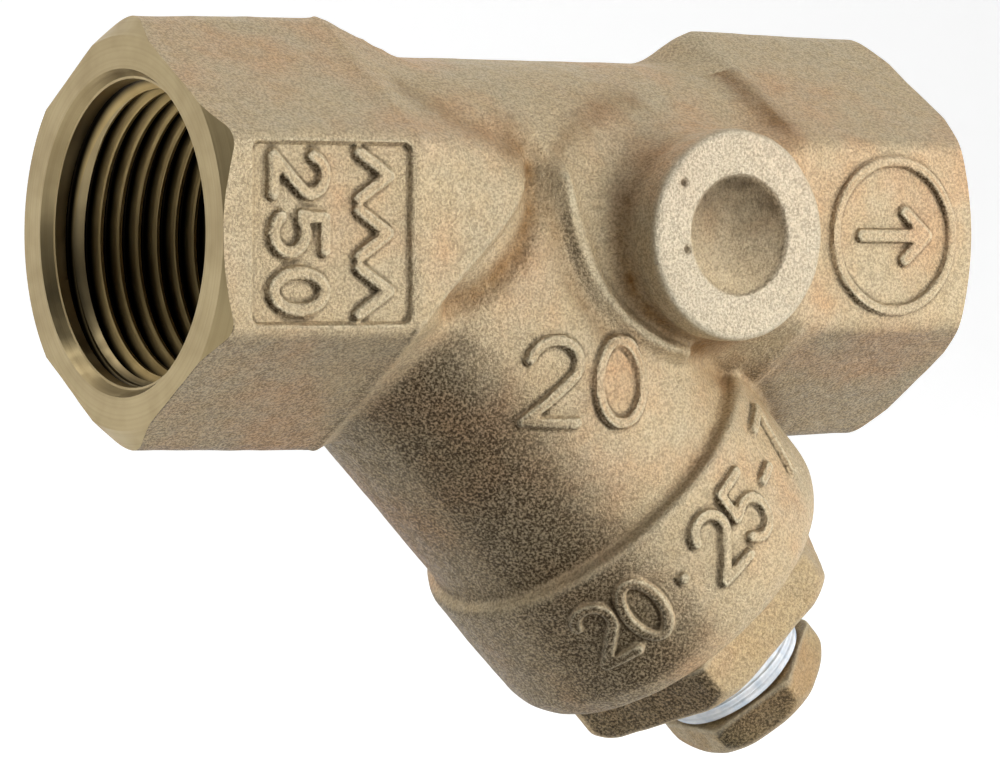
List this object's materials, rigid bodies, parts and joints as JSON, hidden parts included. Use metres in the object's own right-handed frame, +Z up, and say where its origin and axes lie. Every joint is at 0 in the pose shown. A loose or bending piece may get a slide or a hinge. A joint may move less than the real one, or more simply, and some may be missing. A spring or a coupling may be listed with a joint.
{
  "type": "y strainer",
  "caption": "Threaded bronze pipe strainer with hexagonal ends, an angled screen leg, a screwed hexagonal retainer cap and a taped drain plug.",
  "frame": {"origin": "middle of the run, on its centre line", "axes": "+X along the flow from inlet to outlet, +Z up, -Y the side with the gauge boss"},
  "size_m": [0.0776, 0.0362, 0.0645],
  "materials": {
    "bronze_cast": "bead-blasted casting with machined thread mouths",
    "bronze_cap": "bead-blasted",
    "bronze_plug": "bead-blasted",
    "ptfe": "soft white",
    "screen_steel": "woven stainless wire",
    "band_steel": "rolled stainless strip"
  },
  "bodies": {
    "body": {"strainer_body": "bronze_cast"},
    "screen_carriage": {"cap_gasket": "ptfe", "screen_mesh": "screen_steel", "screen_upper_band": "band_steel", "screen_lower_band": "band_steel"},
    "cap": {"retainer_cap": "bronze_cap"},
    "seal": {"plug_seal_tape": "ptfe"},
    "plug": {"drain_plug": "bronze_plug"}
  },
  "joints": [
    {"name": "cap_travel", "type": "slide", "parent": "body", "child": "screen_carriage", "axis": [0.6947, 0, -0.7193], "range_m": [0, 0.048]},
    {"name": "cap_turn", "type": "hinge", "parent": "screen_carriage", "child": "cap", "pos_m": [0.0177, 0, -0.03165], "axis": [0.6947, 0, -0.7193], "range_deg": [0, 11520]},
    {"name": "plug_travel", "type": "slide", "parent": "cap", "child": "seal", "axis": [0.6947, 0, -0.7193], "range_m": [0, 0.01411]},
    {"name": "plug_turn", "type": "hinge", "parent": "seal", "child": "plug", "pos_m": [0.02326, 0, -0.03741], "axis": [0.6947, 0, -0.7193], "range_deg": [0, 3600]}
  ],
  "couplings": [
    {"joint": "cap_travel", "follows": "cap_turn", "m_per_rad": 0.00023873},
    {"joint": "plug_travel", "follows": "plug_turn", "m_per_rad": 0.00022457}
  ]
}
